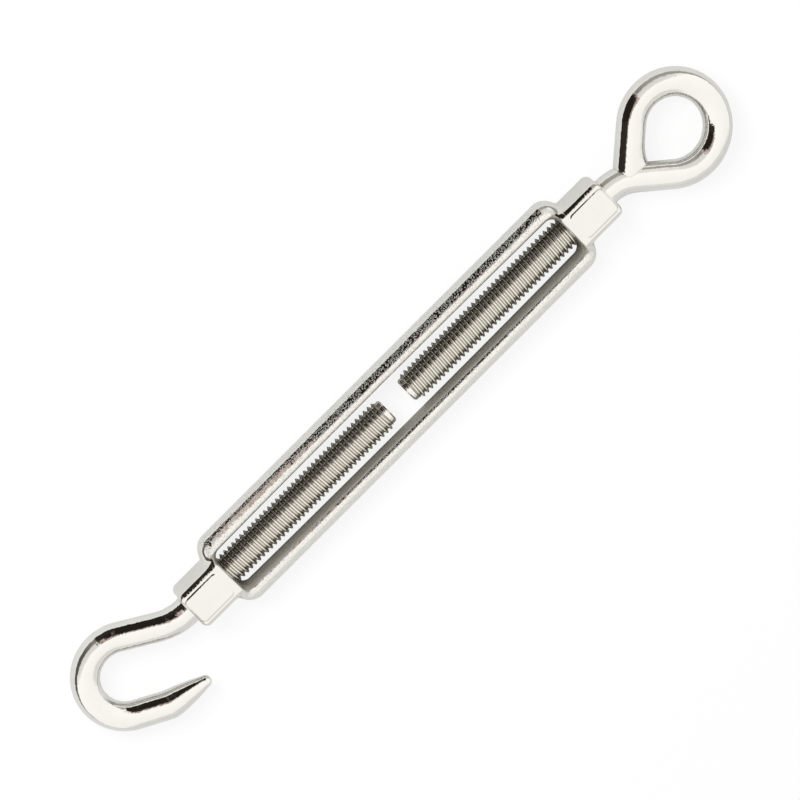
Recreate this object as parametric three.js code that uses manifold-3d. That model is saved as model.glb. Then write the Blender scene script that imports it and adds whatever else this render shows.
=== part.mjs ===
// Rigging turnbuckle: an open cast frame with a hook on a right-hand screw at one end and an eye on a
// left-hand screw at the other, wound right in.
//
// Millimetres, +Z up, the part lying flat: the screws' common axis runs along X, the hook at -X and the eye
// at +X, and the frame's two bars stand either side of it in Y. Everything is built about the screw axis and
// the middle of the frame, and the whole is then set down with its origin at its box's bottom centre.

import * as THREE from 'three';
import { mergeGeometries, mergeVertices } from 'three/addons/utils/BufferGeometryUtils.js';
import Module from 'manifold-3d';

const wasm = await Module();
wasm.setup();

const degrees = THREE.MathUtils.degToRad;

// ---------------------------------------------------------------- driving dimensions

// screws: 3/8 inch, 16 threads to the inch, a 55 degree thread with flat roots
const thread_pitch = 25.4 / 16;
const crest_diameter = 9.45;
const root_width = 0.6;
const flank_angle = degrees(27.5);
const thread_clearance = 0.18;
const thread_sides = 12;

// screw ends: a plain bevelled point in front of the first thread
const screw_gap = 7.34;
const point_length = 1.3;
const point_bevel = 0.5;
const point_undercut = 0.15;
const piece_gap = 0.3;

// frame: two bars joined by an end wall and a square hub at each end
const window_length = 135.4;
const window_width = 14.8;
const window_bow = 0.4;
const window_corner = 2.4;
const window_round = 2.2;
const bar_width = 4.6;
const bar_depth = 9.8;
const bar_round = 2.9;
const end_wall = 2.9;
const shoulder_round = 3.1;
const shoulder_fillet = 2.4;
const fillet_sink = 0.05;
const hub_length = 12.5;
const hub_wall_side = 1.6;
const hub_wall_back = 2.1;
const hub_edge_round = 2.1;
const hub_end_round = 1.9;
const bore_mouth = 0.6;
const pad_length = 11.6;
const pad_width = 7.9;
const pad_height = 0.35;
const pad_corner = 1.6;

// rods: a plain shank, bent into a hook or an eye
const shank_diameter = 8.6;
const shank_sides = 16;
const neck_gap = 0.3;
const section_spacing = 2.4;
const join_overlap = 0.3;

const hook_neck_radius = 17.8;
const hook_neck_turn = degrees(32.5);
const hook_crown_length = 11.4;
const hook_bowl_radius = 11.9;
const hook_bowl_turn = degrees(183);
const hook_tongue_length = 10.2;
const hook_point_tilt = degrees(17);
const hook_point_length = 13.3;
const hook_point_radius = 1.5;

const eye_neck_radius = 13.3;
const eye_neck_turn = degrees(40.5);
const eye_leg_length = 11.4;
const eye_far_radius = 13.3;
const eye_far_turn = degrees(152.5);
const eye_near_radius = 12.4;
const eye_near_turn = degrees(110.5);
const eye_seam_gap = 0.15;

// ---------------------------------------------------------------- sizes that follow

const crest_radius = crest_diameter / 2;
const flank_width = (thread_pitch - root_width) / 2;
const thread_depth = flank_width / Math.tan(flank_angle);
const root_radius = crest_radius - thread_depth;
const shank_radius = shank_diameter / 2;
const hub_half_width = crest_radius + hub_wall_side;
const hub_half_depth = crest_radius + hub_wall_back;
const frame_half_width = window_width / 2 + bar_width;
const window_end_x = window_length / 2;
const shoulder_x = window_end_x + end_wall;
const hub_end_x = shoulder_x + hub_length;
const shank_start_x = hub_end_x + neck_gap;
const point_start_x = screw_gap / 2;
const screw_start_x = point_start_x + point_length + piece_gap;

// ---------------------------------------------------------------- solids and meshes

// A closed three.js geometry as a solid, with its vertices merged and its empty triangles left out.
function to_solid(geometry) {
  geometry.deleteAttribute('normal');
  geometry.deleteAttribute('uv');
  const merged = mergeVertices(geometry, 1e-4);
  const corners = merged.index.array;
  const triangles = [];
  for (let i = 0; i < corners.length; i += 3) {
    const [a, b, c] = corners.slice(i, i + 3);
    if (a !== b && b !== c && c !== a) triangles.push(a, b, c);
  }
  return new wasm.Manifold(new wasm.Mesh({
    numProp: 3,
    vertProperties: new Float32Array(merged.attributes.position.array),
    triVerts: new Uint32Array(triangles),
  }));
}

function to_mesh(name, solid, material) {
  const { vertProperties, triVerts } = solid.getMesh();
  const geometry = new THREE.BufferGeometry();
  geometry.setAttribute('position', new THREE.BufferAttribute(new Float32Array(vertProperties), 3));
  geometry.setIndex(new THREE.BufferAttribute(new Uint32Array(triVerts), 1));
  geometry.computeVertexNormals();
  const mesh = new THREE.Mesh(geometry, material);
  mesh.name = name;
  return mesh;
}

function joined(...solids) {
  return solids.reduce((whole, solid) => whole.add(solid));
}

function faces_flipped(geometry) {
  const index = geometry.index.array;
  for (let i = 0; i < index.length; i += 3) [index[i], index[i + 1]] = [index[i + 1], index[i]];
  return geometry;
}

// The geometry's mirror image across the XZ plane, which makes a right-hand thread a left-hand one.
function left_handed(geometry) {
  return faces_flipped(geometry.scale(1, -1, 1));
}

function right_handed(geometry) {
  return geometry;
}

// A half turn about the Z axis takes what is at +X to -X and keeps a thread's hand.
function at_minus_x(geometry) {
  return geometry.rotateZ(Math.PI);
}

// A profile of [radius, x] points turned about the X axis.
function turned(profile, sides) {
  const points = profile.map(([radius, x]) => new THREE.Vector2(radius, x));
  return new THREE.LatheGeometry(points, sides).rotateZ(-Math.PI / 2);
}

// A rectangle centred on the origin with round corners, as a three.js shape.
function rounded_rectangle(length, width, corner) {
  const x = length / 2 - corner;
  const y = width / 2 - corner;
  const shape = new THREE.Shape();
  shape.absarc(x, y, corner, 0, Math.PI / 2);
  shape.absarc(-x, y, corner, Math.PI / 2, Math.PI);
  shape.absarc(-x, -y, corner, Math.PI, 1.5 * Math.PI);
  shape.absarc(x, -y, corner, 1.5 * Math.PI, 2 * Math.PI);
  return shape;
}

// ---------------------------------------------------------------- screw threads

// A bar along the X axis with a right-hand thread, from turn first to turn last. It is a lathe whose rows
// climb one pitch in a turn, so that each row's end meets the start of the same row one thread further on. A
// step face closes either end. Two bars are in phase, whatever their radii.
function threaded_bar(root, crest, first, last) {
  const corners = [[root, 0], [crest, flank_width], [root, 2 * flank_width]];
  const place = (radius, turn, above) => new THREE.Vector2(radius, turn * thread_pitch + above);
  const rows = [];
  for (let turn = first; turn < last; turn++) {
    for (const [radius, above] of corners) rows.push({ radius, turn, above });
  }
  rows.push({ radius: root, turn: last, above: 0 });
  const lathe = new THREE.LatheGeometry([
    place(0, first, 0),
    ...rows.map(({ radius, turn, above }) => place(radius, turn, above)),
    place(0, last, 0),
  ], thread_sides);

  const positions = lathe.attributes.position;
  const column = rows.length + 2;
  for (let side = 0; side <= thread_sides; side++) {
    rows.forEach(({ radius, turn, above }, row) => {
      const climbed = place(radius, turn + side / thread_sides, above);
      positions.setY(side * column + row + 1, climbed.y);
    });
  }

  const step = (turn) => new THREE.ShapeGeometry(new THREE.Shape([
    place(0, turn, 0),
    ...corners.map(([radius, above]) => place(radius, turn, above)),
    place(root, turn + 1, 0),
  ])).rotateY(-Math.PI / 2);
  return mergeGeometries([lathe, step(first), faces_flipped(step(last))]).rotateZ(-Math.PI / 2);
}

// The thread of a screw at +X, with its near end bevelled and its far end run out into the shank.
function screw_thread(hand) {
  const first = Math.floor(screw_start_x / thread_pitch) - 2;
  const last = Math.ceil(shank_start_x / thread_pitch) + 1;
  const bevel = crest_radius + join_overlap - root_radius;
  const envelope = turned([
    [0, screw_start_x],
    [root_radius, screw_start_x],
    [crest_radius + join_overlap, screw_start_x + bevel],
    [crest_radius + join_overlap, shank_start_x - join_overlap],
    [shank_radius - join_overlap, shank_start_x + join_overlap],
    [0, shank_start_x + join_overlap],
  ], 2 * thread_sides);
  const thread = hand(threaded_bar(root_radius, crest_radius, first, last));
  return to_solid(thread).intersect(to_solid(envelope));
}

// What taps a hub at +X: the same thread, larger by its clearance all round, with a bevelled mouth at each
// end. Its corners lie outside the true round, so that its flat sides clear the screw as it turns.
function hub_tap(hand) {
  const grown = (radius) => (radius + thread_clearance) / Math.cos(Math.PI / thread_sides);
  const first = Math.floor(window_end_x / thread_pitch) - 2;
  const last = Math.ceil(hub_end_x / thread_pitch) + 1;
  const mouth = grown(crest_radius) + bore_mouth;
  const mouths = turned([
    [0, window_end_x - join_overlap],
    [mouth, window_end_x - join_overlap],
    [mouth, window_end_x],
    [0, window_end_x + mouth],
    [0, hub_end_x - mouth],
    [mouth, hub_end_x],
    [mouth, hub_end_x + join_overlap],
    [0, hub_end_x + join_overlap],
  ], 2 * thread_sides);
  return [hand(threaded_bar(grown(root_radius), grown(crest_radius), first, last)), mouths];
}

// ---------------------------------------------------------------- frame

// Half of the frame's outline, from the hub's end at +X over the bar at +Y to the hub's end at -X.
function frame_outline() {
  const shape = new THREE.Shape();
  const round_x = shoulder_x - shoulder_round;
  const round_y = frame_half_width - shoulder_round;
  const buried_y = hub_half_width - fillet_sink;
  const fillet_radius = Math.min(shoulder_fillet, round_y - buried_y - fillet_sink);
  const fillet_x = shoulder_x + fillet_radius;
  const fillet_y = buried_y + fillet_radius;
  const buried_x = fillet_x + bar_round + fillet_sink;
  shape.moveTo(buried_x, -buried_y);
  shape.lineTo(buried_x, buried_y);
  shape.absarc(fillet_x, fillet_y, fillet_radius, 1.5 * Math.PI, Math.PI, true);
  shape.absarc(round_x, round_y, shoulder_round, 0, Math.PI / 2);
  shape.absarc(-round_x, round_y, shoulder_round, Math.PI / 2, Math.PI);
  shape.absarc(-fillet_x, fillet_y, fillet_radius, 0, -Math.PI / 2, true);
  shape.lineTo(-buried_x, buried_y);
  shape.lineTo(-buried_x, -buried_y);
  shape.absarc(-fillet_x, -fillet_y, fillet_radius, Math.PI / 2, 0, true);
  shape.absarc(-round_x, -round_y, shoulder_round, Math.PI, 1.5 * Math.PI);
  shape.absarc(round_x, -round_y, shoulder_round, 1.5 * Math.PI, 2 * Math.PI);
  shape.absarc(fillet_x, -fillet_y, fillet_radius, Math.PI, Math.PI / 2, true);
  return shape;
}

// The opening between the bars, whose long sides bow outward a little.
function window_outline() {
  const x = window_end_x - window_corner;
  const end_y = window_width / 2 - window_bow;
  const y = end_y - window_corner;
  const bow_y = end_y + 2 * window_bow;
  const path = new THREE.Path();
  path.absarc(x, y, window_corner, 0, Math.PI / 2);
  path.quadraticCurveTo(0, bow_y, -x, end_y);
  path.absarc(-x, y, window_corner, Math.PI / 2, Math.PI);
  path.absarc(-x, -y, window_corner, Math.PI, 1.5 * Math.PI);
  path.quadraticCurveTo(0, -bow_y, x, -end_y);
  path.absarc(x, -y, window_corner, 1.5 * Math.PI, 2 * Math.PI);
  return path;
}

// A shape given thickness about the XY plane, with its edges rounded inward from its outline.
function rounded_slab(shape, thickness, edge) {
  return new THREE.ExtrudeGeometry(shape, {
    depth: thickness - 2 * edge,
    bevelSize: edge,
    bevelThickness: edge,
    bevelOffset: -edge,
    bevelSegments: 3,
    curveSegments: 3,
  }).translate(0, 0, edge - thickness / 2);
}

// The square hub at +X, its end's edges rounded and its other end inside the end wall.
function hub_block() {
  const section = rounded_rectangle(2 * hub_half_depth, 2 * hub_half_width, hub_edge_round);
  const start_x = window_end_x + hub_end_round / 4;
  return rounded_slab(section, hub_end_x - start_x, hub_end_round)
    .rotateY(Math.PI / 2)
    .translate((hub_end_x + start_x) / 2, 0, 0);
}

// The raised pad on the hub's front, left blank.
function hub_pad() {
  const height = 2 * pad_height;
  const outline = rounded_rectangle(pad_length, pad_width, pad_corner);
  return new THREE.ExtrudeGeometry(outline, { depth: height, bevelEnabled: false, curveSegments: 4 })
    .translate(hub_end_x - hub_end_round / 2 - pad_length / 2, 0, hub_half_depth - height + pad_height);
}

function make_frame() {
  const body = to_solid(rounded_slab(frame_outline(), bar_depth, bar_round));
  const border = 2 * (hub_length + bar_depth);
  const plate_shape = rounded_rectangle(2 * hub_end_x + border, 2 * frame_half_width + border, bar_depth);
  plate_shape.holes.push(window_outline());
  const plate = to_solid(rounded_slab(plate_shape, bar_depth, window_round));
  let frame = joined(
    body.intersect(plate),
    to_solid(hub_block()), to_solid(hub_pad()),
    to_solid(at_minus_x(hub_block())), to_solid(at_minus_x(hub_pad())),
  );
  for (const cutter of hub_tap(left_handed)) frame = frame.subtract(to_solid(cutter));
  for (const cutter of hub_tap(right_handed)) frame = frame.subtract(to_solid(at_minus_x(cutter)));
  return frame;
}

// ---------------------------------------------------------------- rods

// A line in the XY plane made of straight and evenly curved stretches. Each has a length and the angle that
// the line turns through along it, positive to the left.
class BentLine extends THREE.Curve {
  constructor(start, stretches) {
    super();
    this.start = start;
    this.stretches = stretches;
    this.total = stretches.reduce((sum, { length }) => sum + length, 0);
  }

  // the place and heading after a length of the line
  at(distance) {
    let { x, y, heading } = this.start;
    let left = distance;
    for (const { length, turn } of this.stretches) {
      const here = Math.min(left, length);
      const half = turn * here / length / 2;
      const chord = half === 0 ? here : here * Math.sin(half) / half;
      x += chord * Math.cos(heading + half);
      y += chord * Math.sin(heading + half);
      heading += 2 * half;
      left -= here;
    }
    return { x, y, heading };
  }

  getPoint(t, target = new THREE.Vector3()) {
    const { x, y } = this.at(t * this.total);
    return target.set(x, y, 0);
  }

  getPointAt(t, target) {
    return this.getPoint(t, target);
  }

  getTangentAt(t, target = new THREE.Vector3()) {
    const { heading } = this.at(t * this.total);
    return target.set(Math.cos(heading), Math.sin(heading), 0);
  }
}

const shank_start = { x: shank_start_x, y: 0, heading: 0 };
const straight = (length) => ({ length, turn: 0 });
const arc = (radius, turn) => ({ length: radius * Math.abs(turn), turn });

// A round bar of a radius along a line.
function bar_along(line, radius) {
  const section = new THREE.Shape();
  section.absarc(0, 0, radius, 0, 2 * Math.PI);
  return new THREE.ExtrudeGeometry(section, {
    steps: Math.ceil(line.total / section_spacing),
    extrudePath: line,
    curveSegments: shank_sides / 2,
  });
}

// The line that the hook's rod is bent to, up to where its point begins to taper.
function hook_line() {
  return new BentLine(shank_start, [
    arc(hook_neck_radius, -hook_neck_turn),
    straight(hook_crown_length),
    arc(hook_bowl_radius, hook_bowl_turn),
    straight(hook_tongue_length),
  ]);
}

// The hook's conical point, tilted from the end of its line, with a round end and a ball where it starts.
function hook_point(line) {
  const { x, y, heading } = line.at(line.total);
  const round_x = hook_point_length - hook_point_radius;
  const quarter = [0, 0.25, 0.5, 0.75, 1].map((share) => share * Math.PI / 2);
  const profile = [
    ...quarter.map((angle) => [shank_radius * Math.sin(angle), -shank_radius * Math.cos(angle)]),
    ...quarter.map((angle) => [hook_point_radius * Math.cos(angle), round_x + hook_point_radius * Math.sin(angle)]),
  ];
  return turned(profile, shank_sides).rotateZ(heading + hook_point_tilt).translate(x, y, 0);
}

// The eye's line in two, met part way round the ring. The second goes on into the neck, to be cut to fit it.
function eye_lines() {
  const neck = [arc(eye_neck_radius, -eye_neck_turn), straight(eye_leg_length)];
  const out = new BentLine(shank_start, [...neck, arc(eye_far_radius, eye_far_turn)]);
  const back = new BentLine(out.at(out.total), [
    arc(eye_near_radius, eye_near_turn),
    straight(eye_leg_length + shank_radius),
  ]);
  return { neck: new BentLine(shank_start, neck), out, back };
}

// What both rods have, at +X: the bevelled point, a piece by itself, and the thread.
function screw_point() {
  const radius = root_radius - point_undercut;
  const end_x = point_start_x + point_length;
  return turned([
    [0, point_start_x],
    [radius - point_bevel, point_start_x],
    [radius, point_start_x + point_bevel],
    [radius, end_x],
    [0, end_x],
  ], 2 * thread_sides);
}

function make_hook_rod() {
  const line = hook_line();
  return joined(screw_thread(right_handed), to_solid(bar_along(line, shank_radius)), to_solid(hook_point(line)));
}

// The ring's end is cut to the round of the neck that it closes on, a hair clear of it.
function make_eye_rod() {
  const { neck, out, back } = eye_lines();
  const closing_end = to_solid(bar_along(back, shank_radius))
    .subtract(to_solid(bar_along(neck, shank_radius + eye_seam_gap)));
  return joined(screw_thread(left_handed), to_solid(bar_along(out, shank_radius)), closing_end);
}

// ---------------------------------------------------------------- the whole

const polished_steel = { color: 0xcfcac2, metalness: 1 };
const cast_steel = new THREE.MeshStandardMaterial({ ...polished_steel, roughness: 0.2 });
const drawn_steel = new THREE.MeshStandardMaterial({ ...polished_steel, roughness: 0.12 });
const cut_steel = new THREE.MeshStandardMaterial({ ...polished_steel, roughness: 0.25 });

function turned_half_round(mesh) {
  mesh.rotation.z = Math.PI;
  return mesh;
}

const turnbuckle = new THREE.Group();
turnbuckle.add(
  to_mesh('frame', make_frame(), cast_steel),
  turned_half_round(to_mesh('hook_rod', make_hook_rod(), drawn_steel)),
  turned_half_round(to_mesh('hook_rod_point', to_solid(screw_point()), cut_steel)),
  to_mesh('eye_rod', make_eye_rod(), drawn_steel),
  to_mesh('eye_rod_point', to_solid(screw_point()), cut_steel),
);

const box = new THREE.Box3().setFromObject(turnbuckle, true);
const middle = box.getCenter(new THREE.Vector3());
turnbuckle.position.set(-middle.x, -middle.y, -box.min.z);

export default turnbuckle;
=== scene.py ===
"""Rigging turnbuckle, polished stainless steel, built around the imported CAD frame.

The body is one smooth casting, made from a distance function. Each rod is one swept surface: its screw, its
shank and its hook or eye. Lengths are in millimetres and places are counted from ORIGIN, the middle of the frame
on the screws' axis, unless a comment says metres.
"""

import math

import bpy
import numpy as np
from mathutils import Matrix, Vector


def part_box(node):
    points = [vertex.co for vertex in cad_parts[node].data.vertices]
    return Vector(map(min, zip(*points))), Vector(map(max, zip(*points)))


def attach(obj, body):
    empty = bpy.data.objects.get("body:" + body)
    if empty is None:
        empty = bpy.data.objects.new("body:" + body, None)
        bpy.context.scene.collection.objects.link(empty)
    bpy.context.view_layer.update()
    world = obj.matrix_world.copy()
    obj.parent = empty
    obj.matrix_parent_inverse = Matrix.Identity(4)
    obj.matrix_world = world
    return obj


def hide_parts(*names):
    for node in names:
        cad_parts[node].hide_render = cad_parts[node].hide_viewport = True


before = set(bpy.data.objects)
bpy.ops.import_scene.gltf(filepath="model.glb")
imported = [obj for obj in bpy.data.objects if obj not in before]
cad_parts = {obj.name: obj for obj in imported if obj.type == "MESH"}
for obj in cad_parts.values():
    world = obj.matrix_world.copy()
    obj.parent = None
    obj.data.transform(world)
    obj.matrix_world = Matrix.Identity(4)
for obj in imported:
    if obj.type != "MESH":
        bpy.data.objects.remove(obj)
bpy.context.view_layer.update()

MM = 0.001
WELD = 1e-4

frame_low, frame_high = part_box("frame")
tip_low, tip_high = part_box("eye_rod_point")
ORIGIN = Vector(((frame_low.x + frame_high.x) / 2, (frame_low.y + frame_high.y) / 2, (tip_low.z + tip_high.z) / 2))

# ---------------------------------------------------------------- sizes

# the screws' thread: a crest and a root, each slightly rounded, between straight flanks
PITCH = 25.4 / 16
CREST_RADIUS = 4.725
ROOT_RADIUS = 3.82
FLANK_PEAK = CREST_RADIUS + 0.26
FLANK_SLOPE = math.tan(math.radians(30))
CREST_ROUND = 0.18
ROOT_ROUND = 0.12
CREST_PHASE = 0.311

# the frame, from its middle along X, Y or Z, the same at both ends and on both sides
WINDOW_END = 67.7
WINDOW_HALF_WIDTH = 7.0
WINDOW_BOW = 0.4
WINDOW_CORNER = 2.4
WINDOW_ROUND = 2.3
WINDOW_DRAFT_ALONG = 0.9
WINDOW_DRAFT_ACROSS = 0.15
SHOULDER = 70.6
SHOULDER_CORNER = 5.0
FRAME_HALF_WIDTH = 12.15
BAR_EDGE = 5.05
BAR_HALF_DEPTH = 4.45
BAR_SQUARENESS = 2.5

HUB_START = 65.0
HUB_END = 83.1
HUB_HALF_WIDTH = 6.325
HUB_HALF_DEPTH = 6.78
HUB_END_ROUND = 1.9
HUB_EDGE_ROUND = 1.0
HUB_CHAMFER = 1.15
HUB_CHAMFER_ROUND = 0.4
HUB_FILLET = 3.2

# a faint groove along the hub's sides
GROOVE_OUT = 0.12
GROOVE_HEIGHT = 2.65
GROOVE_RADIUS = 0.26
GROOVE_ROUND = 0.2

# the raised pad on the hub's front
PAD_MIDDLE = HUB_END - 6.85
PAD_HALF_LENGTH = 6.3
PAD_HALF_WIDTH = 4.4
PAD_CORNER = 1.5
PAD_HEIGHT = 0.33
PAD_SLOPE = 0.4
PAD_FRONT = (3, 5)

# the threaded bore and its bevelled mouths
THREAD_CLEARANCE = 0.16
MOUTH_LENGTH = 0.9
MOUTH_DEPTH = 2
BORE_STEEPNESS = 0.85
BORE_ROUND = 0.35

# the rods, from their screws' points outwards
SCREW_TIP = 3.67
TIP_BEVEL = 0.45
TIP_LENGTH = 1.5
TIP_STEP = 0.02
TIP_OPENING = 1.1
SHANK_RADIUS = 4.22
SHANK_START = HUB_END + 0.3
SHANK_OVERLAP = 1.0
RUN_OUT_START = SHANK_START - 2.4
RUN_OUT_END = SHANK_START - 0.2
CUT_START = SCREW_TIP + 1.2
CUT_END = SHANK_START - 3
SIDES = 64
ROWS_PER_PITCH = 18
TIP_ROWS = 8
BODY_ROWS = 190


# ---------------------------------------------------------------- meshes

def make_mesh(name, verts, quads, materials, marks=None):
    """A smooth mesh from vertices in millimetres and four-cornered faces, some of which repeat a corner.

    Vertices nearer than WELD become one. Marks say which of the materials each face has."""
    keys = np.round(verts / WELD).astype(np.int64)
    _, first, inverse = np.unique(keys, axis=0, return_index=True, return_inverse=True)
    verts = verts[first]
    quads = inverse.reshape(-1)[quads]
    faces, kept = [], []
    for number, quad in enumerate(quads.tolist()):
        corners = [v for n, v in enumerate(quad) if v != quad[n - 1]]
        if len(set(corners)) == len(corners) > 2:
            faces.append(corners)
            kept.append(number)
    mesh = bpy.data.meshes.new(name)
    mesh.from_pydata((verts * MM + np.array(ORIGIN)).tolist(), [], faces)
    for material in materials:
        mesh.materials.append(material)
    if marks is not None:
        mesh.polygons.foreach_set("material_index", marks[kept].astype(np.int32))
    mesh.update()
    mesh.shade_smooth()
    piece = bpy.data.objects.new(name, mesh)
    bpy.context.scene.collection.objects.link(piece)
    return piece


def smooth_min(a, b, k):
    h = np.maximum(k - np.abs(a - b), 0) / k
    return np.minimum(a, b) - h * h * k / 4


def smooth_max(a, b, k):
    return -smooth_min(-a, -b, k)


def smooth_step(low, high, value):
    t = np.clip((value - low) / (high - low), 0, 1)
    return t * t * (3 - 2 * t)


def rounded_box(qx, qy, corner):
    """The distance outside a rounded corner, from how far a point is past the corner's centre each way."""
    return np.hypot(np.maximum(qx, 0), np.maximum(qy, 0)) + np.minimum(np.maximum(qx, qy), 0) - corner


def rounded_rectangle(x, y, half_x, half_y, corner):
    return rounded_box(np.abs(x) - half_x + corner, np.abs(y) - half_y + corner, corner)


# ---------------------------------------------------------------- the frame casting

def thread_radius(x, phi):
    """The screw's radius at a place along it and an angle round it, before either end's run-out."""
    turn = (x / PITCH - phi / (2 * math.pi) - CREST_PHASE) % 1
    away = np.minimum(turn, 1 - turn) * PITCH
    flank = FLANK_PEAK - away / FLANK_SLOPE
    return smooth_max(smooth_min(flank, CREST_RADIUS, CREST_ROUND), ROOT_RADIUS, ROOT_ROUND)


def hub_distance(x, y, z):
    """The distance outside a square hub with chamfered long edges, at a place along it from the middle."""
    section = rounded_rectangle(y, z, HUB_HALF_WIDTH, HUB_HALF_DEPTH, HUB_EDGE_ROUND)
    chamfer = (np.abs(y) + np.abs(z) - HUB_HALF_WIDTH - HUB_HALF_DEPTH + HUB_CHAMFER) * math.sqrt(0.5)
    section = smooth_max(section, chamfer, HUB_CHAMFER_ROUND)
    along = np.abs(x - (HUB_START + HUB_END) / 2) - (HUB_END - HUB_START) / 2
    hub = rounded_box(along + HUB_END_ROUND, section + HUB_END_ROUND, HUB_END_ROUND)
    groove = np.hypot(np.abs(y) - HUB_HALF_WIDTH - GROOVE_OUT, z - GROOVE_HEIGHT) - GROOVE_RADIUS
    return smooth_max(hub, -groove, GROOVE_ROUND)


def frame_distance(x, y, z):
    """How far a point is outside the casting, in millimetres, or inside it where negative."""
    x = np.abs(x)
    outline = rounded_rectangle(x, y, SHOULDER, FRAME_HALF_WIDTH, SHOULDER_CORNER)
    slab = ((np.maximum(outline + BAR_EDGE, 0) / BAR_EDGE) ** BAR_SQUARENESS
            + np.abs(z / BAR_HALF_DEPTH) ** BAR_SQUARENESS)
    slab = (slab ** (1 / BAR_SQUARENESS) - 1) * BAR_HALF_DEPTH
    body = smooth_min(slab, hub_distance(x, y, z), HUB_FILLET)

    widest = WINDOW_HALF_WIDTH + WINDOW_BOW
    half_width = WINDOW_HALF_WIDTH + WINDOW_BOW * (1 - (x / WINDOW_END) ** 2)
    draft = 1 - np.minimum(np.abs(z) / BAR_HALF_DEPTH, 1)
    window = rounded_rectangle(x, y * widest / half_width, WINDOW_END - WINDOW_DRAFT_ALONG * draft,
                               widest - WINDOW_DRAFT_ACROSS * draft, WINDOW_CORNER)
    body = smooth_max(body, -window, WINDOW_ROUND)

    pad = rounded_rectangle(x - PAD_MIDDLE, y, PAD_HALF_LENGTH, PAD_HALF_WIDTH, PAD_CORNER)
    body = body - PAD_HEIGHT * smooth_step(0.0, PAD_SLOPE, -pad) * smooth_step(*PAD_FRONT, z)

    hole = thread_radius(x, np.arctan2(y, z)) + THREAD_CLEARANCE
    mouth = np.maximum(MOUTH_LENGTH - (HUB_END - x), MOUTH_LENGTH - (x - WINDOW_END))
    hole = np.maximum(hole, CREST_RADIUS + THREAD_CLEARANCE + np.minimum(mouth, MOUTH_DEPTH))
    bore = (np.hypot(y, z) - hole) * BORE_STEEPNESS
    return smooth_max(body, -bore, BORE_ROUND)


def surface_net(distance, low, high, cell):
    """The quads of a smooth surface where distance is 0, one vertex to each cell of a grid that it crosses."""
    counts = [int(math.ceil((h - l) / cell)) + 1 for l, h in zip(low, high)]
    axes = [l + cell * np.arange(n) for l, n in zip(low, counts)]
    grid = np.empty(counts, np.float32)
    for i, x in enumerate(axes[0]):
        y, z = np.meshgrid(axes[1], axes[2], indexing="ij")
        grid[i] = distance(np.full_like(y, x), y, z)
    inside = grid < 0

    corners = [inside[i:i + counts[0] - 1, j:j + counts[1] - 1, k:k + counts[2] - 1]
               for i in (0, 1) for j in (0, 1) for k in (0, 1)]
    total = sum(c.astype(np.int8) for c in corners)
    active = (total > 0) & (total < 8)
    index = np.full(active.shape, -1, np.int64)
    cells = np.argwhere(active)
    index[active] = np.arange(len(cells))

    # each vertex starts at the mean of the places where its cell's edges cross the surface
    sums = np.zeros((len(cells), 3))
    hits = np.zeros(len(cells))
    for axis in range(3):
        for a in (0, 1):
            for b in (0, 1):
                offset = [a, b]
                offset.insert(axis, 0)
                start = cells + offset
                end = start.copy()
                end[:, axis] += 1
                f0 = grid[tuple(start.T)]
                f1 = grid[tuple(end.T)]
                cross = (f0 < 0) != (f1 < 0)
                share = np.where(cross, f0 / np.where(cross, f0 - f1, 1), 0)
                point = start.astype(float)
                point[:, axis] += share
                sums += np.where(cross[:, None], point, 0)
                hits += cross
    verts = np.array(low) + cell * sums / hits[:, None]

    # then it steps down the slope onto the surface
    newton_steps, probe, least_slope = 3, 0.02, 0.25
    for _ in range(newton_steps):
        value = distance(*verts.T)
        slope = np.stack([(distance(*(verts + probe * e).T) - distance(*(verts - probe * e).T)) / (2 * probe)
                          for e in np.eye(3)], axis=1)
        length = np.maximum((slope ** 2).sum(1), least_slope)
        verts -= np.clip(value / length, -cell / 2, cell / 2)[:, None] * slope

    # one quad round each edge of the grid that crosses the surface
    quads = []
    for axis in range(3):
        u, v = [a for a in range(3) if a != axis]
        near = [slice(1, n - 1) for n in counts]
        near[axis] = slice(0, counts[axis] - 1)
        far = list(near)
        far[axis] = slice(1, counts[axis])
        a, b = inside[tuple(near)], inside[tuple(far)]
        edges = np.argwhere(a != b)
        flip = a[tuple(edges.T)]
        place = edges + [1 if n != axis else 0 for n in range(3)]
        ring = []
        for du, dv in ((0, 0), (-1, 0), (-1, -1), (0, -1)):
            cell_at = place.copy()
            cell_at[:, u] += du
            cell_at[:, v] += dv
            ring.append(index[tuple(cell_at.T)])
        ring = np.stack(ring, axis=1)
        if axis == 1:
            flip = ~flip
        ring[~flip] = ring[~flip][:, ::-1]
        quads.append(ring)
    return verts, np.concatenate(quads)


# ---------------------------------------------------------------- the rods

class BentLine:
    """A line in the XY plane of straight and evenly curved stretches, each a length and an angle turned.

    Before its start it runs straight."""

    def __init__(self, start, stretches):
        self.start = start
        self.stretches = stretches
        self.total = sum(length for length, _ in stretches)

    def at(self, distance):
        """The place and heading at each of an array of distances."""
        distance = np.asarray(distance, float)
        x, y, heading = (np.full_like(distance, v) for v in self.start)
        left = distance.copy()
        for length, turn in self.stretches:
            here = np.clip(left, 0, length)
            half = turn * here / length / 2
            chord = here * np.sinc(half / math.pi)
            x = x + chord * np.cos(heading + half)
            y = y + chord * np.sin(heading + half)
            heading = heading + 2 * half
            left = left - here
        before = np.minimum(distance, 0)
        x = x + before * math.cos(self.start[2])
        y = y + before * math.sin(self.start[2])
        return x, y, heading


def bend(radius, degrees):
    return (radius * math.radians(abs(degrees)), math.radians(degrees))


def straight(length):
    return (length, 0.0)


RODS_START = (SHANK_START, 0.0, 0.0)

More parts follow.
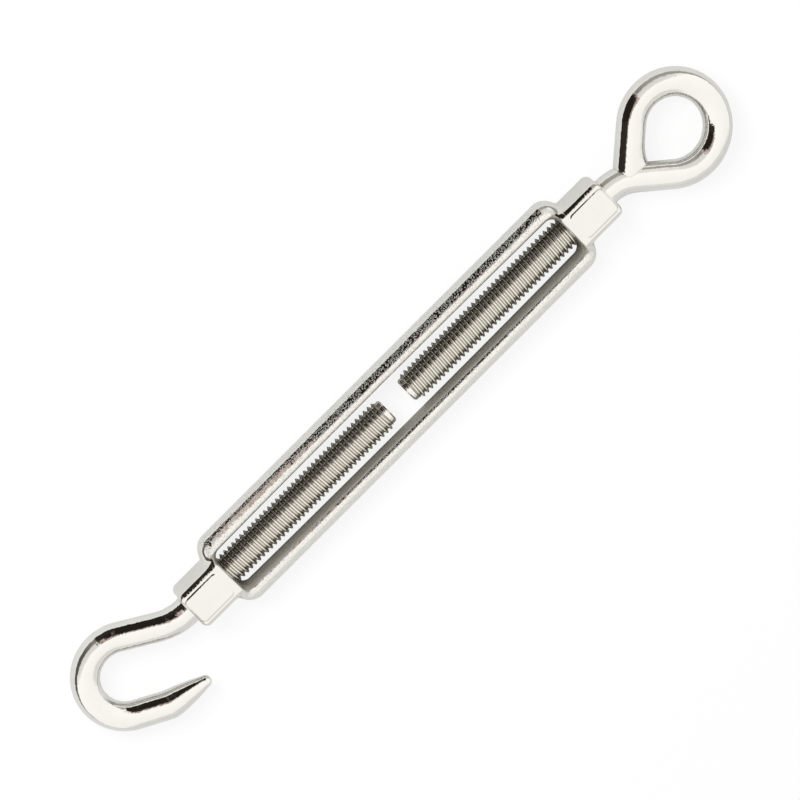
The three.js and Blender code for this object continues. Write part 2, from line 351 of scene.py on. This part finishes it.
HOOK = [bend(17.8, -32.5), straight(11.4), bend(11.77, 183.0), straight(8.6), bend(9.0, 17.0), straight(12.2)]
HOOK_TAPER_LENGTH = 13.6
HOOK_TAPER_POWER = 1.45
HOOK_END_RADIUS = 1.85
HOOK_CAP_ROWS = 13

EYE_NECK = [bend(13.3, -40.5), straight(11.4)]
EYE_RING = [bend(13.3, 152.5), bend(12.4, 110.5)]
EYE_SEAM_GAP = 0.10
EYE_FLARE = 1.5
EYE_LEG_ROWS = 26
EYE_LEG_SHARE = 0.97
EYE_CAP_SIZES = (0.985, 0.95, 0.8, 0.6, 0.4, 0.2, 0.0)
# how far the leg is followed towards the neck, and the part of the rod where it may meet it
EYE_LEG_REACH = 24
EYE_LEG_STEPS = 960
EYE_NECK_LENGTH = EYE_NECK[0][0] + EYE_NECK[1][0] + 6
EYE_NECK_POINTS = 900


def swept(line, distance, radius, hand):
    """Points round a line, from arrays of distance along it and of radius, one column to each angle.

    The hand, 1 or -1, is the way that the angles go round."""
    phi = np.linspace(0, 2 * math.pi, SIDES + 1)[None, :]
    x, y, heading = line.at(distance)
    across = -hand * radius * np.sin(phi)
    return np.stack([x - across * np.sin(heading), y + across * np.cos(heading), radius * np.cos(phi)], axis=-1)


def lattice(rows):
    """Vertices and quads of a grid of points, rows by columns."""
    count, columns = rows.shape[:2]
    number = np.arange(count * columns).reshape(count, columns)
    quads = np.stack([number[:-1, :-1], number[1:, :-1], number[1:, 1:], number[:-1, 1:]], axis=-1)
    return rows.reshape(-1, 3), quads.reshape(-1, 4)


def screw_rows():
    """Distances and radii of the screw, in rows that follow its thread, from its flat end to its shank.

    Distances are counted along the rod from the shank's start, so the screw's are negative."""
    step = PITCH / ROWS_PER_PITCH
    first = SCREW_TIP - PITCH
    end = SHANK_START + SHANK_OVERLAP
    count = int((end - first) / step) + ROWS_PER_PITCH
    share = np.linspace(0, 1, SIDES + 1)[None, :]
    x = np.clip(first + step * np.arange(count)[:, None] + share * PITCH, SCREW_TIP, end)
    radius = thread_radius(x, share * 2 * math.pi)
    from_tip = x - SCREW_TIP
    collar = ROOT_RADIUS + TIP_STEP + np.maximum(from_tip - TIP_LENGTH, 0) * TIP_OPENING
    radius = smooth_min(radius, np.minimum(ROOT_RADIUS - TIP_BEVEL + from_tip, collar), ROOT_ROUND)
    run_out = smooth_step(RUN_OUT_START, RUN_OUT_END, x)
    radius = radius * (1 - run_out) + SHANK_RADIUS * run_out

    distance = x - SHANK_START
    flat_end = np.full((TIP_ROWS, SIDES + 1), distance[0, 0])
    flat_radius = np.linspace(0, 1, TIP_ROWS)[:, None] * radius[0]
    return np.concatenate([flat_end, distance]), np.concatenate([flat_radius, radius])


def all_round(values):
    """A column of values, repeated for each angle round a rod."""
    return np.repeat(values[:, None], SIDES + 1, axis=1)


def screw_marks(quads, distance):
    """1 for each face of a rod that is on its screw's cut thread, from past its point to the run-out, else 0."""
    x = distance[quads[:, 0] // (SIDES + 1), quads[:, 0] % (SIDES + 1)] + SHANK_START
    return ((x > CUT_START) & (x < CUT_END)).astype(int)


def hook_mesh(materials):
    line = BentLine(RODS_START, HOOK)
    round_start = line.total - HOOK_END_RADIUS
    taper_start = line.total - HOOK_TAPER_LENGTH
    body = np.linspace(SHANK_OVERLAP, round_start, BODY_ROWS)[1:]
    share = np.clip((body - taper_start) / (round_start - taper_start), 0, 1)
    body_radius = SHANK_RADIUS + (HOOK_END_RADIUS - SHANK_RADIUS) * share ** HOOK_TAPER_POWER
    cap = np.linspace(0, math.pi / 2, HOOK_CAP_ROWS)[1:]

    screw_distance, screw_radius = screw_rows()
    distance = np.concatenate([screw_distance, all_round(body),
                               all_round(round_start + HOOK_END_RADIUS * np.sin(cap))])
    radius = np.concatenate([screw_radius, all_round(body_radius), all_round(body_radius[-1] * np.cos(cap))])
    rows = swept(line, distance, radius, 1)
    rows[..., :2] *= -1
    verts, quads = lattice(rows)
    return make_mesh("hook_and_screw", verts, quads[:, ::-1], materials, screw_marks(quads, distance))


def eye_mesh(materials):
    line = BentLine(RODS_START, EYE_NECK + EYE_RING)
    ring_end = line.total
    body = np.linspace(SHANK_OVERLAP, ring_end, BODY_ROWS)[1:]
    screw_distance, screw_radius = screw_rows()
    distance = np.concatenate([screw_distance, all_round(body)])
    radius = np.concatenate([screw_radius, all_round(np.full_like(body, SHANK_RADIUS))])
    rows = swept(line, distance, radius, -1)

    # the closing leg: every line along it runs until it meets the neck, a hair clear of it
    neck_x, neck_y, _ = line.at(np.linspace(0, EYE_NECK_LENGTH, EYE_NECK_POINTS))
    end_x, end_y, end_heading = (float(v[0]) for v in line.at(np.array([ring_end])))
    centre = np.array([end_x, end_y, 0.0])
    along = np.array([math.cos(end_heading), math.sin(end_heading), 0.0])
    inward = np.array([-math.sin(end_heading), math.cos(end_heading), 0.0])

    def reach(points):
        """How far each point travels along the leg before it meets the neck."""
        travel = np.linspace(0, EYE_LEG_REACH, EYE_LEG_STEPS + 1)
        spots = points[:, None, :] + travel[None, :, None] * along
        gap = np.full(spots.shape[:2], np.inf)
        for x, y in zip(neck_x, neck_y):
            gap = np.minimum(gap, (spots[..., 0] - x) ** 2 + (spots[..., 1] - y) ** 2 + spots[..., 2] ** 2)
        near = np.sqrt(gap) < SHANK_RADIUS + EYE_SEAM_GAP
        return travel[np.where(near.any(axis=1), near.argmax(axis=1), 0)]

    last = rows[-1]
    facing = np.maximum((last - centre) @ inward / SHANK_RADIUS, 0) ** 2
    flare = EYE_FLARE * facing[:, None] * inward
    far = reach(last + flare)
    shares = np.linspace(0, 1, EYE_LEG_ROWS)[1:] * EYE_LEG_SHARE
    leg = [last + flare * share ** 4 + (far * share)[:, None] * along for share in shares]
    cap = []
    for size in EYE_CAP_SIZES:
        inner = centre + (last + flare - centre) * size
        cap.append(inner + reach(inner)[:, None] * along)
    rows = np.concatenate([rows, leg, cap])
    distance = np.concatenate([distance, np.zeros((len(leg) + len(cap), SIDES + 1))])
    verts, quads = lattice(rows)
    return make_mesh("eye_and_screw", verts, quads, materials, screw_marks(quads, distance))


# ---------------------------------------------------------------- nodes

def add(tree, kind, inputs, **settings):
    """A new shader node with its settings, and with each input given a value or another node's output."""
    node = tree.nodes.new("ShaderNode" + kind)
    for name, value in settings.items():
        setattr(node, name, value)
    for socket, value in inputs.items():
        feed(tree, node.inputs[socket], value)
    return node


def feed(tree, socket, value):
    if isinstance(value, bpy.types.NodeSocket):
        tree.links.new(value, socket)
    else:
        socket.default_value = value


def calculate(tree, operation, *values):
    return add(tree, "Math", dict(enumerate(values)), operation=operation).outputs[0]


def remap(tree, value, start, end, to_start=0.0, to_end=1.0):
    """A value's place between a start and an end, kept within them, as a place between two others."""
    inputs = {"Value": value, "From Min": start, "From Max": end, "To Min": to_start, "To Max": to_end}
    return add(tree, "MapRange", inputs).outputs["Result"]


def mix(tree, factor, a, b, **settings):
    """A mix of two colours, or of two numbers with data_type FLOAT."""
    settings = {"data_type": "RGBA", **settings}
    return add(tree, "Mix", {"Factor": factor, "A": a, "B": b}, **settings).outputs["Result"]


def ramp(tree, value, stops):
    """The colour that a ramp of places from 0 to 1, each with its colour, gives a value."""
    node = add(tree, "ValToRGB", {"Fac": value})
    elements = node.color_ramp.elements
    while len(elements) < len(stops):
        elements.new(0.5)
    for element, (where, colour) in zip(elements, stops):
        element.position = where
        element.color = opaque(colour)
    return node.outputs["Color"]


def coordinates(tree, kind):
    return add(tree, "TexCoord", {}).outputs[kind]


def opaque(colour):
    return (*colour, 1)


# ---------------------------------------------------------------- the three steels

# noise scales are waves to a metre, and dents are so many metres deep
PATCHES = {"Scale": 260, "Detail": 5}
PATCH_SPREAD = (0.3, 0.7)
PATCH_TINT = (0.955, 0.955, 0.93)
SHEEN_SPREAD = (0.6, 1.5)
SLOW_WAVES = {"Scale": 140, "Detail": 2}
WAVE_DEPTH = 0.0004
GRAIN_DETAIL = 0.6
GRAIN_DEPTH = 0.00003
PITS = {"Scale": 2300, "Detail": 0}
PIT_SPREAD = (0.56, 0.64)
PIT_DEPTH = 0.00006

# painted shade on the thread's flanks: where it lies, as shares of the height from its root to its crest, and its
# colour
FLANK_SHADE_STOPS = [(0.05, (0, 0, 0)), (0.16, (1, 1, 1)), (0.74, (1, 1, 1)), (0.92, (0, 0, 0))]
FLANK_SHADE_COLOUR = (0.50, 0.475, 0.435)

# the window's walls, where the casting is matte and its colour is darkened as painted shade
WALL_SHADE_COLOUR = (0.34, 0.32, 0.28)
WALL_METALLIC = 0.25
WALL_ROUGHNESS = 0.40
WALL_END_FADE = 0.5
WALL_REACH = 7.5
WALL_FADE = 0.4
LEAST_FADE = 0.05


def within(tree, place, axis, reach, fade):
    """1 where a point is nearer the frame's middle than a reach in millimetres along an axis, then fading to 0."""
    along = add(tree, "SeparateXYZ", {0: place}).outputs[axis]
    away = calculate(tree, "ABSOLUTE", calculate(tree, "SUBTRACT", along, ORIGIN["XYZ".index(axis)]))
    return remap(tree, away, (reach + fade + LEAST_FADE) * MM, reach * MM)


def with_flank_shade(tree, place, polished):
    """The thread's colour: polished on its crests and in its roots, and darkened on the flanks between them as
    painted shade.
    """
    from_middle = add(tree, "VectorMath", {0: place, 1: ORIGIN}, operation="SUBTRACT").outputs[0]
    from_axis = add(tree, "VectorMath", {0: from_middle, 1: (0, 1, 1)}, operation="MULTIPLY").outputs[0]
    radius = add(tree, "VectorMath", {0: from_axis}, operation="LENGTH").outputs["Value"]
    height = remap(tree, radius, ROOT_RADIUS * MM, CREST_RADIUS * MM)
    return mix(tree, ramp(tree, height, FLANK_SHADE_STOPS), polished, opaque(FLANK_SHADE_COLOUR))


def dent(tree, height, strength, depth, normal=None):
    """The surface's normal after a bump, on top of another bump's normal if there is one."""
    inputs = {"Height": height, "Strength": strength, "Distance": depth}
    if normal:
        inputs["Normal"] = normal
    return add(tree, "Bump", inputs).outputs["Normal"]


def steel(name, colour, roughness, waves, grain, grain_scale, threaded=False, as_cast=False):
    """Polished stainless steel: slow waves left by the polishing wheel, fine grain, and a patchy sheen.

    A cut thread's flanks are darkened as painted shade. A casting has tiny pits along its bars, and its window's
    walls are matte, with painted shade darkening their colour."""
    material = bpy.data.materials.new(name)
    material.use_nodes = True
    tree = material.node_tree
    sockets = tree.nodes["Principled BSDF"].inputs
    place = coordinates(tree, "Object")

    def noise(inputs):
        return add(tree, "TexNoise", {**inputs, "Vector": place}).outputs["Fac"]

    patch = noise(PATCHES)
    tint = [part * share for part, share in zip(colour, PATCH_TINT)]
    base = mix(tree, patch, opaque(colour), opaque(tint))
    sheen = remap(tree, patch, *PATCH_SPREAD, *[roughness * share for share in SHEEN_SPREAD])
    normal = dent(tree, noise(SLOW_WAVES), waves, WAVE_DEPTH)
    normal = dent(tree, noise({"Scale": grain_scale, "Detail": GRAIN_DETAIL}), grain, GRAIN_DEPTH, normal)
    if threaded:
        # painted shade on the thread's flanks
        base = with_flank_shade(tree, place, base)
    if as_cast:
        pits = remap(tree, noise(PITS), *PIT_SPREAD)
        normal = dent(tree, pits, within(tree, place, "X", WINDOW_END, 0), PIT_DEPTH, normal)
        wall = calculate(tree, "MULTIPLY", within(tree, place, "X", WINDOW_END, WALL_END_FADE),
                         within(tree, place, "Y", WALL_REACH, WALL_FADE))
        # the walls' darker colour is painted shade; their roughness and metallic make them matte
        base = mix(tree, wall, base, opaque(WALL_SHADE_COLOUR))
        sheen = mix(tree, wall, sheen, WALL_ROUGHNESS, data_type="FLOAT")
        feed(tree, sockets["Metallic"], mix(tree, wall, 1.0, WALL_METALLIC, data_type="FLOAT"))
    else:
        sockets["Metallic"].default_value = 1.0
    feed(tree, sockets["Base Color"], base)
    feed(tree, sockets["Roughness"], sheen)
    feed(tree, sockets["Normal"], normal)
    return material


cast = steel("cast_stainless", (0.87, 0.86, 0.835), roughness=0.04, waves=0.40, grain=0.8, grain_scale=1350,
             as_cast=True)
drawn = steel("drawn_stainless", (0.89, 0.88, 0.86), roughness=0.05, waves=0.26, grain=0.8, grain_scale=1500)
cut = steel("cut_stainless", (0.88, 0.86, 0.81), roughness=0.04, waves=0.10, grain=0.30, grain_scale=1800,
            threaded=True)

# ---------------------------------------------------------------- the pieces

GRID_CELL = 0.26
GRID_LOW = (-84.1, -13.0, -7.8)
GRID_HIGH = (84.1, 13.0, 8.2)

body = make_mesh("cast_frame", *surface_net(frame_distance, GRID_LOW, GRID_HIGH, GRID_CELL), [cast])
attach(body, "frame")
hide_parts("frame")

hook = hook_mesh([drawn, cut])
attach(hook, "hook_rod")
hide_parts("hook_rod", "hook_rod_point")

eye = eye_mesh([drawn, cut])
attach(eye, "eye_rod")
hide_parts("eye_rod", "eye_rod_point")

# ---------------------------------------------------------------- the floor, which the camera sees almost white

scene = bpy.context.scene
scene.view_settings.view_transform = "Standard"


def seen_directly(tree):
    """1 for the camera's own rays and for rays through something transparent."""
    path = add(tree, "LightPath", {}).outputs
    return calculate(tree, "MAXIMUM", path["Is Camera Ray"], path["Is Transmission Ray"])


def blank_material(name):
    """A new material with nothing in its tree but an output, the tree, and the output's surface."""
    material = bpy.data.materials.new(name)
    material.use_nodes = True
    tree = material.node_tree
    tree.nodes.clear()
    return material, tree, add(tree, "OutputMaterial", {}).inputs["Surface"]


FLOOR_SIZE = 6  # metres
FLOOR_GLOW = 0.85
FLOOR_COLOUR = (0.78, 0.78, 0.77)
FLOOR_COLOUR_SEEN = (0.16, 0.16, 0.16)

bpy.ops.mesh.primitive_plane_add(size=FLOOR_SIZE, location=(0, 0, 0))
floor = bpy.context.object
floor.name = "floor"
paper, tree, surface = blank_material("paper")
direct = seen_directly(tree)
glow = add(tree, "Emission", {"Strength": mix(tree, direct, 0.0, FLOOR_GLOW, data_type="FLOAT")})
matte = add(tree, "BsdfDiffuse", {"Color": mix(tree, direct, opaque(FLOOR_COLOUR), opaque(FLOOR_COLOUR_SEEN))})
feed(tree, surface, add(tree, "AddShader", {0: matte.outputs[0], 1: glow.outputs[0]}).outputs[0])
floor.data.materials.append(paper)

# ---------------------------------------------------------------- light

# a plain white room. Lit things get an even grey from it, the camera sees white, and the steel shows the room:
# greyer low down, its two ends white, and a low dark band all along its far side
ROOM_ACROSS = [(0.0, 0.76), (0.07, 0.78), (0.12, 1.03), (0.64, 1.12), (0.70, 0.82), (1.0, 0.70)]
ROOM_ALONG = [(0.0, 1.08), (0.12, 1.0), (0.23, 0.0), (0.77, 0.0), (0.88, 1.0), (1.0, 1.08)]
ROOM_WARMTH = (1, 0.99, 0.965)
ROOM_GREY = (0.55, 0.55, 0.55)
BAND_RISE = {"start": -0.1, "end": 0.9, "to_end": 0.50}
BAND_TOP = (0.13, 0.03)
BAND_FAR_SIDE = (-0.55, -0.15)
BAND_TURN = (-0.4, 0.3)
BAND_DARK = (0.11, 0.10, 0.088)
BAND_LIGHT = (0.38, 0.36, 0.33)
WHITE = (1, 1, 1)

world = bpy.data.worlds.new("studio")
scene.world = world
world.use_nodes = True
tree = world.node_tree
background = tree.nodes["Background"].inputs
background["Strength"].default_value = 1.0
direction = add(tree, "SeparateXYZ", {0: coordinates(tree, "Generated")}).outputs


def room_light(value, stops):
    """The room's brightness along one of its directions, from -1 to 1, as stops on a ramp from 0 to 1."""
    colours = [(where, [grey * part for part in ROOM_WARMTH]) for where, grey in stops]
    return ramp(tree, remap(tree, value, -1, 1), colours)


room = mix(tree, 1.0, room_light(direction["Y"], ROOM_ACROSS), room_light(direction["X"], ROOM_ALONG),
           blend_type="LIGHTEN")
above = calculate(tree, "SUBTRACT", direction["Z"], remap(tree, direction["Y"], **BAND_RISE))
band = calculate(tree, "MULTIPLY", remap(tree, above, *BAND_TOP), remap(tree, direction["Y"], *BAND_FAR_SIDE))
band_colour = mix(tree, remap(tree, direction["X"], *BAND_TURN), opaque(BAND_DARK), opaque(BAND_LIGHT))
is_reflection = add(tree, "LightPath", {}).outputs["Is Glossy Ray"]
light = mix(tree, is_reflection, opaque(ROOM_GREY), mix(tree, band, room, band_colour))
feed(tree, background["Color"], mix(tree, seen_directly(tree), light, opaque(WHITE)))

# one soft lamp on the far side, in metres
lamp_data = bpy.data.lights.new("soft_lamp", "AREA")
lamp_data.shape = "SQUARE"
lamp_data.size = 0.35
lamp_data.energy = 4.2
lamp = bpy.data.objects.new("soft_lamp", lamp_data)
lamp.location = ORIGIN + Vector((-0.10, 0.50, 0.62))
lamp.rotation_euler = (ORIGIN - lamp.location).to_track_quat("-Z", "Y").to_euler()
lamp.visible_glossy = False
scene.collection.objects.link(lamp)

# ---------------------------------------------------------------- dark and brown things in the reflections

# all stand on the table's far side. The two side cards are edge-on to it, behind the hook
CARD_FOOT = -8
BROWN = (0.46, 0.37, 0.33)
FAR_BROWN = (0.50, 0.40, 0.36)
UMBER = (0.11, 0.078, 0.058)
DIM = (0.13, 0.11, 0.095)
SIDE_DIM = (0.20, 0.175, 0.15)
SOOT = (0.03, 0.024, 0.02)
BLACK = (0.018, 0.015, 0.012)


def card(name, corners, colour):
    """A flat card that only the steel sees."""
    mesh = bpy.data.meshes.new(name)
    mesh.from_pydata([Vector(corner) * MM + ORIGIN for corner in corners], [], [tuple(range(len(corners)))])
    piece = bpy.data.objects.new(name, mesh)
    scene.collection.objects.link(piece)
    material, tree, surface = blank_material(name)
    feed(tree, surface, add(tree, "Emission", {"Color": opaque(colour)}).outputs[0])
    mesh.materials.append(material)
    piece.visible_camera = piece.visible_diffuse = piece.visible_shadow = False


def standing(top):
    """A top edge with a foot under each of its ends, as points along the card and up."""
    return [(top[0][0], CARD_FOOT)] + top + [(top[-1][0], CARD_FOOT)]


def card_across(name, y, top, colour):
    """A card that faces the object from a place along Y. Its top edge is in points of X and Z."""
    card(name, [(x, y, z) for x, z in standing(top)], colour)


def card_along(name, x, top, colour):
    """A card that stands edge-on to the object at a place along X. Its top edge is in points of Y and Z."""
    card(name, [(x, y, z) for y, z in standing(top)], colour)


card_across("brown_card", 136, [(-28, 60), (-26, 420), (0, 380), (30, 300), (70, 250), (94, 210), (98, 60)], BROWN)
card_across("dim_card", 133, [(-29, 60), (-27, 250), (0, 262), (30, 235), (60, 215), (84, 190), (94, 60)], DIM)
card_across("dark_card", 130, [(-30, 40), (-28, 205), (0, 225), (30, 200), (60, 180), (84, 150), (92, 40)], BLACK)
card_across("post_card", 130, [(-98, 30), (-97, 120), (-78, 120), (-64, 56), (-24, 50)], SOOT)
card_along("side_dim_card", -102, [(98, 320), (150, 360), (210, 410), (300, 470)], SIDE_DIM)
card_along("side_card", -100, [(98, 250), (150, 290), (210, 330), (300, 380)], SOOT)
card_across("far_brown_card", 312, [(-90, 60), (-88, 700), (-40, 950), (80, 950), (90, 60)], FAR_BROWN)
card_across("far_umber_card", 306, [(-86, 60), (-82, 150), (-50, 210), (-30, 300), (-20, 60)], UMBER)
card_across("far_dark_card", 300, [(-36, 60), (-34, 560), (10, 560), (66, 440), (72, 60)], BLACK)

# ---------------------------------------------------------------- camera

TILT = math.radians(17)
PIXELS = 800
PIXELS_PER_MM = 3.546
DISTANCE = 1.2  # metres
SENSOR = 36
# how far the picture's centre is from the frame's middle, in pixels along the screws and across them
OFF_ALONG = 2.6
OFF_ACROSS = -1.8

camera_data = bpy.data.cameras.new("camera")
camera = bpy.data.objects.new("camera", camera_data)
scene.collection.objects.link(camera)
scene.camera = camera
toward = Vector((0, math.sin(TILT), math.cos(TILT)))
along = Vector((1, 0, 0))
across = Vector((0, math.cos(TILT), -math.sin(TILT)))
right = (along - across).normalized()
up = (along + across).normalized()
aim = ORIGIN + (along * OFF_ALONG + across * OFF_ACROSS) / PIXELS_PER_MM * MM
place = aim + toward * DISTANCE
camera.matrix_world = Matrix((
    (right.x, up.x, toward.x, place.x),
    (right.y, up.y, toward.y, place.y),
    (right.z, up.z, toward.z, place.z),
    (0, 0, 0, 1)))
camera_data.sensor_width = SENSOR
camera_data.lens = SENSOR * DISTANCE / (PIXELS / PIXELS_PER_MM * MM)
camera_data.clip_end = 20
